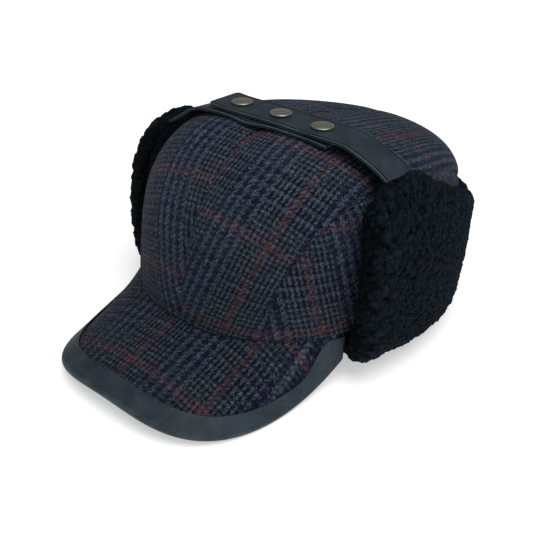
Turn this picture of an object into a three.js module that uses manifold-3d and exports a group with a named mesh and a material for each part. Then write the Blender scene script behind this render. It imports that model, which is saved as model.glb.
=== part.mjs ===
// An earflap cap: a crown of four plaid cloth panels, a bound peak, a band of boa earflaps folded
// up round the sides and back, and two coated straps that hold the flaps up with three snaps.
// Millimetres, +Z up. The peak points to -Y, the wearer's left is +X and the cap rests on z = 0.
import * as THREE from 'three';
import { mergeVertices } from 'three/addons/utils/BufferGeometryUtils.js';
import Module from 'manifold-3d';

const wasm = await Module();
wasm.setup();

// Driving dimensions, shared by every piece.
const seamGap = 0.3;
const crownSetBack = 21.95;    // the crown's middle lies this far behind the whole cap's middle
const degree = Math.PI / 180;

const crown = {
  halfWidth: 85.5,
  halfLength: 107,
  planPower: 2.2,              // 2 is an ellipse, and more is squarer
  rimFront: 29,
  rimSide: 24.5,
  rimBack: 12.7,
  height: 112.4,
  backSlope: -0.205,           // how the top falls for each millimetre towards the back
  dome: 4.5,
  topSetBack: 12.3,
  frontPower: 2.5,             // how square the profile is at the front, the sides and the back
  sidePower: 3.9,
  backPower: 4.6,
  drawnIn: 0.055,              // the back is this much smaller all round, under the flaps
  wall: 2,
  sideSeamAtRim: 33 * degree,  // how far the side seam stands from the middle, seen from inside
  sideSeamAtTop: 46.5 * degree,
};

const peak = {
  sweep: 58.3 * degree,        // each end of the peak, round the rim from the front
  fullSweep: 64.9 * degree,    // where its edge would run out into the rim
  halfWidth: 74.6,
  reach: 52.6,                   // from the rim to the tip
  edgePower: 3.3,
  tipDrop: 16.4,               // the tip's fall below the front of the rim
  arch: 14.4,                  // the further fall of the corners below the tip
  runOutPower: 6,
  board: 2.4,
  tuck: 2.4,                   // the inner edge lies under the crown's wall by this much
  stations: 42,
  bunching: 0.86,              // 0 spaces the stations evenly, and 1 gathers them at the ends
};

const binding = { cloth: 0.8, slack: 0.4, width: 10.8, wideFrom: 0.72, wideTo: 0.83, clear: 0.9 };

const flap = {
  cloth: 1.5,
  boa: 7.5,
  frontEdge: -31 * degree,     // the front edge, round the rim from the wearer's left
  inset: 0.3,                  // the cloth goes down this far inside the crown's outer face
};

// How the flap stands off the crown, and how far it hangs below the rim before it folds up.
const flapAtFront = { stand: 5.6, belly: 3.4, fall: 3.4 };
const flapAtBack = { stand: 1, belly: 1, fall: 5 };

// The top edge of the flap: how far it climbs the crown, at angles round the rim.
const flapTop = [
  { around: -31, climb: 34 },
  { around: -29, climb: 38 },
  { around: -25, climb: 41 },
  { around: -13, climb: 43 },
  { around: -4, climb: 39.5 },
  { around: 8, climb: 36 },
  { around: 22, climb: 32.5 },
  { around: 45, climb: 30.5 },
  { around: 90, climb: 30 },
];

// Its far edge lies lower than its near one, more so at the left shoulder. Towards the flaps it
// drifts back.
const strap = { width: 25, thickness: 1.2, crossFall: 0.6, shoulderFall: 2.3, drift: 5 };

// The underside of each strap, along its length.
const upperStrap = {
  middle: -24.5,
  path: [
    { x: -38.5, z: 123.8 },
    { x: -31, z: 123.2 },
    { x: -24, z: 122.9 },
    { x: 4.5, z: 122.5 },
    { x: 33, z: 121.4 },
    { x: 46, z: 121 },
    { x: 53, z: 120 },
    { x: 58.5, z: 117.9 },
    { x: 64.4, z: 114.8 },
    { x: 69.9, z: 111.5 },
    { x: 75, z: 107.7 },
    { x: 78.5, z: 104.8 },
  ],
};
const lowerStrap = {
  middle: -26.5,
  path: [
    { x: -76.2, z: 103.3 },
    { x: -74, z: 104.4 },
    { x: -69, z: 107.2 },
    { x: -62.9, z: 110.8 },
    { x: -52.5, z: 116.9 },
    { x: -47.5, z: 118.8 },
    { x: -42, z: 119.8 },
    { x: -37, z: 120.2 },
    { x: -24, z: 120.4 },
    { x: 4.5, z: 120.2 },
    { x: 33, z: 119.1 },
    { x: 46, z: 117.8 },
  ],
};

const snap = {
  middle: 4.5,
  spacing: 28.5,
  count: 3,
  capRadius: 6.2,
  capHeight: 2.1,
  postRadius: 2,
  holeRadius: 2.35,
  socketRadius: 4.2,
  socketHeight: 0.5,
};

const mix = (from, to, share) => from + (to - from) * share;
const bump = (value, middle, width) => Math.exp(-(((value - middle) / width) ** 2));

function smoothStep(from, to, value) {
  const share = THREE.MathUtils.clamp((value - from) / (to - from), 0, 1);
  return share * share * (3 - 2 * share);
}

// Superellipse: a direction's cosine and sine, stretched until their powers add to one.
function superellipse(angle, exponent) {
  const cosine = Math.cos(angle);
  const sine = Math.sin(angle);
  const reach = (Math.abs(cosine) ** exponent + Math.abs(sine) ** exponent) ** (-1 / exponent);
  return [cosine * reach, sine * reach];
}

// The point that stands `height` above a face, along its normal at (u, v).
function above(face, u, v, height) {
  const step = 1e-3;
  const across = face(Math.min(u + step, 1), v).sub(face(Math.max(u - step, 0), v));
  const along = face(u, Math.min(v + step, 1)).sub(face(u, Math.max(v - step, 0)));
  return face(u, v).addScaledVector(across.cross(along).normalize(), height);
}

// A closed wall over a grid: its two skins stand low(u, v) and high(u, v) above face(u, v).
function wall(columns, rows, face, low, high) {
  const positions = [];
  for (const height of [low, high]) {
    for (let row = 0; row <= rows; row += 1) {
      for (let column = 0; column <= columns; column += 1) {
        const u = column / columns;
        const v = row / rows;
        positions.push(...above(face, u, v, height(u, v)).toArray());
      }
    }
  }
  const skin = (columns + 1) * (rows + 1);
  const at = (column, row, layer) => layer * skin + row * (columns + 1) + column;
  const index = [];
  const quad = (a, b, c, d) => index.push(a, b, c, a, c, d);
  for (let row = 0; row < rows; row += 1) {
    for (let column = 0; column < columns; column += 1) {
      quad(at(column, row, 1), at(column + 1, row, 1), at(column + 1, row + 1, 1), at(column, row + 1, 1));
      quad(at(column, row, 0), at(column, row + 1, 0), at(column + 1, row + 1, 0), at(column + 1, row, 0));
    }
  }
  for (let column = 0; column < columns; column += 1) {
    quad(at(column, 0, 0), at(column + 1, 0, 0), at(column + 1, 0, 1), at(column, 0, 1));
    quad(at(column, rows, 1), at(column + 1, rows, 1), at(column + 1, rows, 0), at(column, rows, 0));
  }
  for (let row = 0; row < rows; row += 1) {
    quad(at(0, row, 1), at(0, row + 1, 1), at(0, row + 1, 0), at(0, row, 0));
    quad(at(columns, row, 0), at(columns, row + 1, 0), at(columns, row + 1, 1), at(columns, row, 1));
  }
  const geometry = new THREE.BufferGeometry();
  geometry.setAttribute('position', new THREE.Float32BufferAttribute(positions, 3));
  geometry.setIndex(index);
  return geometry;
}

function mirrored(geometry) {
  const copy = geometry.clone().scale(-1, 1, 1);
  const index = Array.from(geometry.index.array);
  for (let corner = 0; corner < index.length; corner += 3) {
    [index[corner], index[corner + 1]] = [index[corner + 1], index[corner]];
  }
  copy.setIndex(index);
  return copy;
}

// ---- The crown ----

// Height of the rim, round it from the wearer's left: a parabola through the sides, front and back.
function rimHeight(around) {
  const back = Math.sin(around);
  const tilt = (crown.rimBack - crown.rimFront) / 2;
  const sag = (crown.rimBack + crown.rimFront) / 2 - crown.rimSide;
  return crown.rimSide + tilt * back + sag * back * back;
}

// The crown's outer face, `around` from the wearer's left and `climb` up from the rim.
function crownFace(around, climb) {
  const sine = Math.sin(around);
  const frontShare = Math.max(0, -sine) ** 4;
  const backShare = Math.max(0, sine) ** 2;
  const profilePower = crown.sidePower
    + (crown.frontPower - crown.sidePower) * frontShare
    + (crown.backPower - crown.sidePower) * backShare;
  const [out, rise] = superellipse(climb, profilePower);
  const [planX, planY] = superellipse(around, crown.planPower);
  const held = smoothStep(0, 0.6, sine) * (1 - smoothStep(20 * degree, 38 * degree, climb));
  const size = out * (1 - crown.drawnIn * held);
  const x = crown.halfWidth * size * planX;
  const y = crown.halfLength * size * planY + crown.topSetBack * rise;
  const top = crown.height + crown.backSlope * y + crown.dome * (1 - out * out);
  return new THREE.Vector3(x, y, mix(rimHeight(around), top, rise));
}

// The side seam's angle from the middle plane, where `over` runs from the front rim to the back.
const sideSeam = (over) => mix(crown.sideSeamAtRim, crown.sideSeamAtTop, Math.sin(over) ** 2);

// Angles round and up for a direction that leans `aside` and lies `over` the head from the front.
function roundAndUp(aside, over) {
  const across = Math.sin(aside);
  const level = Math.cos(aside);
  return [Math.atan2(-level * Math.cos(over), across), Math.asin(Math.min(1, level * Math.sin(over)))];
}

const seamAngle = seamGap / 2 / crown.halfLength;
const crownWall = () => -crown.wall;
const flush = () => 0;

function topPanel() {
  const face = (u, v) => {
    const over = Math.PI * v;
    const aside = mix(seamAngle, sideSeam(over) - seamAngle, u);
    return crownFace(...roundAndUp(aside, over));
  };
  return wall(8, 22, face, crownWall, flush);
}

function sidePanel() {
  const end = 0.015;
  const face = (u, v) => {
    const over = Math.PI * mix(end, 1 - end, u);
    const [around, climb] = roundAndUp(sideSeam(over) + seamAngle, over);
    const corner = Math.PI / 2 - crown.sideSeamAtRim - seamAngle;
    const rimAround = mix(-corner, corner, mix(end, 1 - end, u));
    return crownFace(mix(rimAround, around, v), climb * v);
  };
  return wall(22, 6, face, crownWall, flush);
}

// ---- The peak and its binding ----

function peakLine(sweep) {
  const around = sweep - Math.PI / 2;
  const rim = crownFace(around, 0);
  const share = sweep / peak.fullSweep;
  const [forward, aside] = superellipse(share * Math.PI / 2, peak.edgePower);
  const endY = crown.halfLength * Math.sin(peak.fullSweep - Math.PI / 2);
  const edge = new THREE.Vector3(
    peak.halfWidth * aside,
    endY - (crown.halfLength + endY + peak.reach) * forward,
    crown.rimFront - peak.tipDrop - peak.arch * aside * aside,
  );
  edge.lerp(rim, Math.abs(share) ** peak.runOutPower);
  const level = Math.hypot(edge.x - rim.x, edge.y - rim.y) / edge.distanceTo(rim);
  const inward = new THREE.Vector3(-rim.x, -rim.y, 0).normalize();
  rim.addScaledVector(inward, peak.tuck * level);
  rim.z -= seamGap + level * peak.board / 2;
  return { rim, edge, level };
}

function sweepAt(u) {
  const turn = peak.bunching * Math.PI / 2;
  return peak.sweep * Math.sin((2 * u - 1) * turn) / Math.sin(turn);
}

// The middle of the peak's board: straight lines from the edge to the rim.
function peakFace(u, v) {
  const { rim, edge } = peakLine(sweepAt(u));
  return edge.lerp(rim, v);
}

const peakBoard = () => wall(peak.stations, 5, peakFace, () => -peak.board / 2, () => peak.board / 2);

// A folded strip of cloth swept along the peak's edge: each outline point lies `inward` from the
// edge, along the peak, and `up` from the middle of its board.
function peakBinding() {
  const clear = peak.board / 2 + binding.slack;
  const full = clear + binding.cloth;
  const outline = (width) => [
    [width, full],
    [width / 2, full],
    [0, full],
    [-0.7 * full, 0.7 * full],
    [-full, 0],
    [-0.7 * full, -0.7 * full],
    [0, -full],
    [width / 2, -full],
    [width, -full],
    [width, -clear],
    [width / 2, -clear],
    [-binding.slack, -clear],
    [-binding.slack, clear],
    [width / 2, clear],
    [width, clear],
  ];
  const { stations } = peak;
  const points = outline(0).length;
  const positions = [];
  for (let station = 0; station <= stations; station += 1) {
    const u = station / stations;
    const sweep = sweepAt(u);
    const { rim, edge, level } = peakLine(sweep);
    const length = rim.distanceTo(edge);
    const outward = edge.clone().sub(rim).normalize();
    const room = length - (peak.tuck * level + binding.clear);
    const wide = smoothStep(binding.wideFrom, binding.wideTo, Math.abs(sweep) / peak.fullSweep);
    const width = Math.min(room, mix(binding.width, room, wide));
    for (const [along, lift] of outline(width)) {
      const point = above(peakFace, u, Math.max(0, along) / length, lift);
      point.addScaledVector(outward, Math.max(0, -along));
      positions.push(point.x, point.y, Math.max(0, point.z));
    }
  }
  const index = [];
  for (let station = 0; station < stations; station += 1) {
    for (let point = 0; point < points; point += 1) {
      const next = (point + 1) % points;
      const here = station * points;
      const there = here + points;
      index.push(here + point, there + next, there + point, here + point, here + next, there + next);
    }
  }
  const shape = new THREE.Shape(outline(binding.width).map(([x, y]) => new THREE.Vector2(x, y)));
  const triangles = THREE.ShapeUtils.triangulateShape(shape.getPoints(), []);
  const last = stations * points;
  for (const [a, b, c] of triangles) {
    index.push(a, c, b, last + a, last + b, last + c);
  }
  const geometry = new THREE.BufferGeometry();
  geometry.setAttribute('position', new THREE.Float32BufferAttribute(positions, 3));
  geometry.setIndex(index);
  return geometry;
}

// ---- The flaps ----

function topClimb(around) {
  const angle = around / degree;
  const last = flapTop.length - 2;
  const found = flapTop.findIndex((row, number) => number > last || angle < flapTop[number + 1].around);
  const row = Math.min(found, last);
  const [from, to] = [flapTop[row], flapTop[row + 1]];
  return mix(from.climb, to.climb, smoothStep(from.around, to.around, angle)) * degree;
}

const flapColumns = 21;
const flapRows = 11;
const legShare = 1 / flapRows;
const foldShare = 4 / flapRows;
const risePerRadian = 88;

// The cloth's inner face: down from the rim, round the fold, then up the outside of the crown.
function flapFace(u, v) {
  const around = mix(flap.frontEdge, Math.PI / 2 - seamAngle, u);
  const toBack = smoothStep(-20 * degree, 28 * degree, around);
  const stand = mix(flapAtFront.stand, flapAtBack.stand, toBack);
  const belly = mix(flapAtFront.belly, flapAtBack.belly, toBack);
  const fall = seamGap + mix(flapAtFront.fall, flapAtBack.fall, smoothStep(-25 * degree, 0, around));
  const step = 1e-3;
  const share = Math.max(0, (v - foldShare) / (1 - foldShare));
  const start = -fall / risePerRadian;
  const climb = v < foldShare ? start : mix(start, topClimb(around), share);
  const onCrown = Math.max(climb, step);
  const point = crownFace(around, onCrown);
  const round = crownFace(around + step, onCrown).sub(crownFace(around - step, onCrown));
  const up = crownFace(around, onCrown + step).sub(crownFace(around, onCrown - step));
  const outward = round.cross(up).normalize();
  if (v >= foldShare) {
    point.addScaledVector(outward, stand + belly * Math.sin(Math.PI * share * 0.87));
    point.z += risePerRadian * Math.min(climb, 0);
    return point;
  }
  const radius = (stand + flap.inset) / 2;
  const turn = Math.PI * Math.max(0, (v - legShare) / (foldShare - legShare));
  point.addScaledVector(outward, stand - radius * (1 + Math.cos(turn)));
  point.z -= mix(seamGap, fall, Math.min(1, v / legShare)) + radius * Math.sin(turn);
  return point;
}

const flapCloth = () => wall(flapColumns, flapRows, flapFace, flush, () => flap.cloth);

// The boa is thin inside the rim, and rounded towards its front and top edges.
function flapBoa() {
  const base = flap.cloth + seamGap;
  const rounded = (share) => Math.sqrt(1 - (1 - Math.min(1, share)) ** 2);
  const pile = (u, v) => {
    const front = 0.7 + 0.3 * rounded(u * 20);
    const top = 0.5 + 0.5 * rounded((1 - v) * 12);
    const inside = mix(0.3, 1, smoothStep(0, legShare * 2, v));
    return base + flap.boa * front * top * inside;
  };
  const geometry = wall(flapColumns, flapRows, flapFace, () => base, pile);
  const place = geometry.attributes.position;
  for (let point = 0; point < place.count; point += 1) {
    place.setZ(point, Math.max(0, place.getZ(point)));
  }
  return geometry;
}

// ---- The straps and snaps ----

// A strap's underside.
function strapFace({ middle, path }) {
  const curve = new THREE.CatmullRomCurve3(path.map(({ x, z }) => new THREE.Vector3(x, middle, z)));
  return (u, v) => {
    const point = curve.getPoint(u);
    const fall = mix(strap.crossFall, strap.shoulderFall, smoothStep(42, 58, point.x));
    point.y += strap.width * (v - 0.5) + strap.drift * smoothStep(46, 82, Math.abs(point.x));
    point.z -= fall * (v - 0.5);
    return point;
  };
}

function toSolid(geometry) {
  const bare = new THREE.BufferGeometry();
  bare.setAttribute('position', geometry.attributes.position.clone());
  bare.setIndex(geometry.index);
  const merged = mergeVertices(bare, 1e-4);
  const vertProperties = new Float32Array(merged.attributes.position.array);
  const triVerts = new Uint32Array(merged.index.array);
  return new wasm.Manifold(new wasm.Mesh({ numProp: 3, vertProperties, triVerts }));
}

function fromSolid(solid) {
  const mesh = solid.getMesh();
  const geometry = new THREE.BufferGeometry();
  geometry.setAttribute('position', new THREE.BufferAttribute(mesh.vertProperties, mesh.numProp));
  geometry.setIndex(new THREE.BufferAttribute(mesh.triVerts, 1));
  return geometry;
}

// Places of the snaps, with +Y of each frame standing out of the upper strap's top.
function snapFrames() {
  const face = strapFace(upperStrap);
  const frames = [];
  for (let number = 0; number < snap.count; number += 1) {
    const x = snap.middle + snap.spacing * (number - (snap.count - 1) / 2);
    let low = 0;
    let high = 1;
    while (high - low > 1e-4) {
      const middle = (low + high) / 2;
      if (face(middle, 0.5).x < x) low = middle;
      else high = middle;
    }
    const across = face(low + 1e-3, 0.5).sub(face(low - 1e-3, 0.5));
    const along = face(low, 1).sub(face(low, 0));
    const normal = across.cross(along).normalize();
    const turn = new THREE.Quaternion().setFromUnitVectors(new THREE.Vector3(0, 1, 0), normal);
    frames.push({ place: face(low, 0.5).addScaledVector(normal, strap.thickness), turn });
  }
  return frames;
}

function lathe(profile) {
  return new THREE.LatheGeometry(profile.map(([radius, height]) => new THREE.Vector2(radius, height)), 16);
}

function snapSolid() {
  const capFoot = seamGap;
  const socketTop = -strap.thickness - seamGap;
  const socketFoot = socketTop - snap.socketHeight;
  const tip = socketFoot - seamGap - strap.thickness;
  return lathe([
    [0, tip],
    [snap.postRadius, tip],
    [snap.postRadius, socketFoot],
    [snap.socketRadius, socketFoot],
    [snap.socketRadius, socketTop],
    [snap.postRadius, socketTop],
    [snap.postRadius, capFoot],
    [snap.capRadius - 0.8, capFoot],
    [snap.capRadius, capFoot + 0.5],
    [snap.capRadius - 0.3, capFoot + snap.capHeight * 0.6],
    [snap.capRadius - 1.3, capFoot + snap.capHeight * 0.9],
    [0, capFoot + snap.capHeight],
  ]);
}

function strapSolid(settings) {
  const band = wall(30, 2, strapFace(settings), flush, () => strap.thickness);
  let solid = toSolid(band);
  for (const { place, turn } of snapFrames()) {
    const drill = lathe([[0, -9], [snap.holeRadius, -9], [snap.holeRadius, 3], [0, 3]]);
    drill.applyQuaternion(turn).translate(place.x, place.y, place.z);
    solid = solid.subtract(toSolid(drill));
  }
  return fromSolid(solid);
}

// ---- Materials and assembly ----

const finish = (color, roughness, metalness = 0) => (
  new THREE.MeshStandardMaterial({ color, roughness, metalness })
);
const plaidWool = { color: 0x2a2c38, roughness: 0.95 };
const coatedCloth = { color: 0x343b41, roughness: 0.55 };
const boaPile = { color: 0x14191e, roughness: 1 };
const agedNickel = { color: 0x6e6d66, roughness: 0.35, metalness: 0.9 };

const cap = new THREE.Group();
cap.position.y = crownSetBack;

function add(name, geometry, { color, roughness, metalness }) {
  const mesh = new THREE.Mesh(geometry, finish(color, roughness, metalness));
  mesh.name = name;
  cap.add(mesh);
  return mesh;
}

function addPair(name, geometry, material) {
  add(`${name}_left`, geometry, material);
  add(`${name}_right`, mirrored(geometry), material);
}

addPair('crown_top', topPanel(), plaidWool);
addPair('crown_side', sidePanel(), plaidWool);
add('peak', peakBoard(), plaidWool);
add('peak_binding', peakBinding(), coatedCloth);
addPair('flap_cloth', flapCloth(), plaidWool);
addPair('flap_boa', flapBoa(), boaPile);
add('strap_upper', strapSolid(upperStrap), coatedCloth);
add('strap_lower', strapSolid(lowerStrap), coatedCloth);
snapFrames().forEach(({ place, turn }, number) => {
  const mesh = add(`snap_${number + 1}`, snapSolid(), agedNickel);
  mesh.position.copy(place);
  mesh.quaternion.copy(turn);
});

export default cap;
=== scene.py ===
"""An earflap cap of plaid wool with boa flaps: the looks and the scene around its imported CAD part.
Shapes are worked out in millimetres, in the part's own frame: +Z up, the peak towards -Y."""
import math

import bpy
import numpy as np
from mathutils import Matrix, Vector


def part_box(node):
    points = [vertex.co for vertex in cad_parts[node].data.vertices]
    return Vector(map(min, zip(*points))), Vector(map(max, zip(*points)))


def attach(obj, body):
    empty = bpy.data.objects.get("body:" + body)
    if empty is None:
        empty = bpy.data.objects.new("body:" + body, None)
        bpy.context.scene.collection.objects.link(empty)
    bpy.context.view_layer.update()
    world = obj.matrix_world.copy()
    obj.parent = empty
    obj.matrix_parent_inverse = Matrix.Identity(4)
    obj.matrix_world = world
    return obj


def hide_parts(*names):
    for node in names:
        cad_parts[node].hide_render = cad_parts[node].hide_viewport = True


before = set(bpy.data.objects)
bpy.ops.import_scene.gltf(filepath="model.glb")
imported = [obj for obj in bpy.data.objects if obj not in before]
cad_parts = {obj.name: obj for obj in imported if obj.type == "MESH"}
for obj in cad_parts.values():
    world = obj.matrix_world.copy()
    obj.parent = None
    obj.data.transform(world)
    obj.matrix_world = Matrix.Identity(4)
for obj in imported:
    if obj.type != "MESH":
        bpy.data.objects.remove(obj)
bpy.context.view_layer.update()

# ---- The crown ------------------------------------------------------------------------------
# Four panels of heavy wool cloth, sewn into a dome that keeps its shape by itself: two halves of
# the top, joined by a seam from front to back, and a D-shaped panel on each side. The seams are
# plain ones, pressed open on the inside, so outside each is a narrow valley with soft edges.
MM = 0.001                             # of a metre
CROWN_SET_BACK = 21.95                 # from the frame's origin to the crown's middle
CROWN_WALL, RIM_ROLL = 2.0, 1.7        # thickness, and radius of the folded rim
CROWN_HALF = (85.5, 107.0)             # half width and half length in plan
PLAN_POWER = 2.2
RIM_FRONT, RIM_SIDE, RIM_BACK = 29.0, 24.5, 12.7
CROWN_HEIGHT, BACK_SLOPE, CROWN_DOME = 112.4, -0.205, 4.5
TOP_SET_BACK = 12.3
FRONT_POWER, SIDE_POWER, BACK_POWER = 2.5, 3.9, 4.6
DRAWN_IN = 0.055                       # share by which it is narrower, low down at the back:
DRAWN_IN_ROUND, DRAWN_IN_CLIMB = (0, 0.6), (math.radians(20), math.radians(38))
SEAM_AT_RIM, SEAM_AT_TOP = math.radians(33), math.radians(46.5)
SEAM_ANGLE = 0.002 / CROWN_HALF[1]     # sewn panels meet
PANEL_END = 0.002                      # share of a side panel that is missing at its points
SLOPE_STEP = 1e-3                      # of a shape's two numbers, over which its slope is taken
SHARP_EDGE = math.radians(50)          # an edge bent further than this is shaded as a sharp one


def mix(a, b, share):
    """The value that lies a share of the way from a to b."""
    return a + (b - a) * share


def smooth_step(low, high, value):
    """0 below low, 1 above high and an S-shaped cubic between them."""
    share = np.clip((value - low) / (high - low), 0, 1)
    return share * share * (3 - 2 * share)


def superellipse(angle, power):
    """Cosine and sine of the angle, both stretched until their powers add to one."""
    cosine, sine = np.cos(angle), np.sin(angle)
    reach = (np.abs(cosine) ** power + np.abs(sine) ** power) ** (-1 / power)
    return cosine * reach, sine * reach


def crown_face(around, climb):
    """The crown's outer face. In plan it is a superellipse, `around` from the wearer's left, and
    each profile up from the rim is one too, squarer at the back than at the front."""
    sine = np.sin(around)
    front, back = np.maximum(0, -sine) ** 4, np.maximum(0, sine) ** 2
    power = SIDE_POWER + (FRONT_POWER - SIDE_POWER) * front + (BACK_POWER - SIDE_POWER) * back
    out, rise = superellipse(climb, power)
    plan_x, plan_y = superellipse(around, PLAN_POWER)
    held = smooth_step(*DRAWN_IN_ROUND, sine) * (1 - smooth_step(*DRAWN_IN_CLIMB, climb))
    size = out * (1 - DRAWN_IN * held)
    x = CROWN_HALF[0] * size * plan_x
    y = CROWN_HALF[1] * size * plan_y + TOP_SET_BACK * rise
    rim = (RIM_SIDE + (RIM_BACK - RIM_FRONT) / 2 * sine
           + ((RIM_BACK + RIM_FRONT) / 2 - RIM_SIDE) * sine ** 2)
    top = CROWN_HEIGHT + BACK_SLOPE * y + CROWN_DOME * (1 - out ** 2)
    return np.stack([x, y + CROWN_SET_BACK, mix(rim, top, rise)], -1)


def side_seam(over):
    """The side seam's angle from the middle plane, `over` the head from the front rim."""
    return mix(SEAM_AT_RIM, SEAM_AT_TOP, np.sin(over) ** 2)


def round_and_up(aside, over):
    """The crown's two angles for a direction `aside` from the middle plane and `over` the head."""
    level = np.cos(aside)
    return (np.arctan2(-level * np.cos(over), np.sin(aside)),
            np.arcsin(np.clip(level * np.sin(over), -1, 1)))


def top_panel(u, v):
    """The left half of the top: u runs from the middle seam to the side seam, v front to back."""
    over = math.pi * v
    return crown_face(*round_and_up(mix(SEAM_ANGLE, side_seam(over) - SEAM_ANGLE, u), over))


def side_panel(u, v):
    """The left side panel: u runs round it from front to back, v from the rim to its seam."""
    along = mix(PANEL_END, 1 - PANEL_END, u)
    around, climb = round_and_up(side_seam(math.pi * along) + SEAM_ANGLE, math.pi * along)
    corner = math.pi / 2 - SEAM_AT_RIM - SEAM_ANGLE
    return crown_face(mix(mix(-corner, corner, along), around, v), climb * v)


def grid(columns, rows):
    """u and v from 0 to 1, as arrays of rows + 1 by columns + 1."""
    return np.meshgrid(np.linspace(0, 1, columns + 1), np.linspace(0, 1, rows + 1))


def normals(face, u, v, step=SLOPE_STEP):
    """Unit normals of face(u, v): the cross product of its two slopes."""
    across = face(np.minimum(u + step, 1), v) - face(np.maximum(u - step, 0), v)
    along = face(u, np.minimum(v + step, 1)) - face(u, np.maximum(v - step, 0))
    upright = np.cross(across, along)
    return upright / np.linalg.norm(upright, axis=-1, keepdims=True)


def arc_length(points, axis):
    """How far each point of a grid lies along its row or column, measured over the surface."""
    steps = np.linalg.norm(np.diff(points, axis=axis), axis=-1)
    start = np.zeros_like(np.take(steps, [0], axis))
    return np.concatenate([start, np.cumsum(steps, axis)], axis)


def raised(points, upright, height):
    """The points of a grid, each moved out along its normal by its height."""
    return points + upright * height[..., None]


def mirrored(points):
    """The same grid on the other side of the middle plane, turned to keep its faces outwards.
    Places on the flat cloth have two numbers, and are mirrored in the same way."""
    return points[:, ::-1] * (-1, 1, 1)[:points.shape[-1]]


def make_mesh(name, points, faces, cloth=None):
    """A smooth mesh from points in millimetres and faces. cloth is the UV map: each point's place
    on the flat cloth, in millimetres."""
    mesh = bpy.data.meshes.new(name)
    mesh.from_pydata((points.reshape(-1, 3) * MM).tolist(), [], faces)
    mesh.shade_smooth()
    mesh.set_sharp_from_angle(angle=SHARP_EDGE)
    if cloth is not None:
        corners = np.empty(len(mesh.loops), np.int32)
        mesh.loops.foreach_get("vertex_index", corners)
        uv = mesh.uv_layers.new(name="cloth")
        uv.data.foreach_set("uv", cloth.reshape(-1, 2)[corners].ravel())
    made = bpy.data.objects.new(name, mesh)
    bpy.context.scene.collection.objects.link(made)
    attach(made, "root")
    return made


def wall(name, outer, inner, cloth=None):
    """A closed sheet: two grids of points, one on each face, joined along their four edges."""
    rows, columns = outer.shape[:2]
    index = np.arange(rows * columns).reshape(rows, columns)
    low = index + rows * columns
    quads = [
        (index[:-1, :-1], index[:-1, 1:], index[1:, 1:], index[1:, :-1]),
        (low[:-1, :-1], low[1:, :-1], low[1:, 1:], low[:-1, 1:]),
        (low[0, :-1], low[0, 1:], index[0, 1:], index[0, :-1]),
        (index[-1, :-1], index[-1, 1:], low[-1, 1:], low[-1, :-1]),
        (index[:-1, 0], index[1:, 0], low[1:, 0], low[:-1, 0]),
        (low[:-1, -1], low[1:, -1], index[1:, -1], index[:-1, -1]),
    ]
    faces = np.concatenate([np.stack(corners, -1).reshape(-1, 4) for corners in quads])
    points = np.concatenate([outer.reshape(-1, 3), inner.reshape(-1, 3)])
    if cloth is not None:
        cloth = np.concatenate([cloth.reshape(-1, 2)] * 2)
    return make_mesh(name, points, faces.tolist(), cloth)


SEAM_VALLEYS = ((1.1, 1.3), (0.45, 5.0))      # depth and reach of the narrow and the wide one
PUCKER_HEIGHT, PUCKER_RUN, PUCKER_REACH = 0.14, 1.15, 4.0


def seam_dip(distance):
    """How far cloth sinks near a seam: a narrow bell-shaped valley in the middle of a wide one."""
    return -sum(depth * np.exp(-(distance / reach) ** 2) for depth, reach in SEAM_VALLEYS)


def puckers(along, *seams):
    """Small ripples that stitches draw up: a wave along a seam, which dies away from each seam."""
    near = sum(np.exp(-distance / PUCKER_REACH) for distance in seams)
    return PUCKER_HEIGHT * np.sin(along / PUCKER_RUN) * near


def rounded(share):
    """The height of a quarter circle, from 0 at share 0 to 1 at share 1 and beyond."""
    return np.sqrt(1 - (1 - np.clip(share, 0, 1)) ** 2)


def rim_roll(distance):
    """How far the cloth sinks at the rim, where it is folded under round a quarter circle."""
    return -RIM_ROLL * (1 - rounded(distance / RIM_ROLL))


WAVE_START, WAVE_RUN = (400, 300, 200), (19, 23, 17)
WAVE_HEIGHT, SLOPING_WAVE_HEIGHT = 0.35, 0.2


def unevenness(points):
    """Slow rises and falls of soft cloth, a few tenths of a millimetre, from crossed waves."""
    x, y, z = np.moveaxis((points + WAVE_START) / WAVE_RUN, -1, 0)
    return (WAVE_HEIGHT * np.sin(x + np.sin(z)) * np.cos(y + 1.3 * np.sin(x * 0.7))
            + SLOPING_WAVE_HEIGHT * np.sin(2.1 * z + y))


# The check repeats every 50.4 mm across the cloth and 54.5 mm along it. These place it on each
# panel, so that the red lines lie where U or V is a whole number of repeats.
TOP_CLOTH_START = (52.9, 64.7)
RIGHT_TOP_SHIFT = (4.0, 37.0)
TOP_BIAS, TOP_BIAS_POWER = 25, 1.5             # how far the check runs into the middle seam
TOP_STRAIGHT = (52, 90)                        # degrees over the head between which it runs true
TOP_SAG, TOP_SAG_LOST = 0.0045, 0.0175         # millimetres for each squared degree aside
TOP_SAG_TURNS = (20, 110)                      # degrees over the head, where it changes
SIDE_CLOTH_RADIUS, SIDE_CLOTH_START = 92, (72.5, 33.3)
SIDE_CLOTH_LEAN, SIDE_CLOTH_LEVEL = 0.2, 33    # sideways for each millimetre up, from a height


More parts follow.
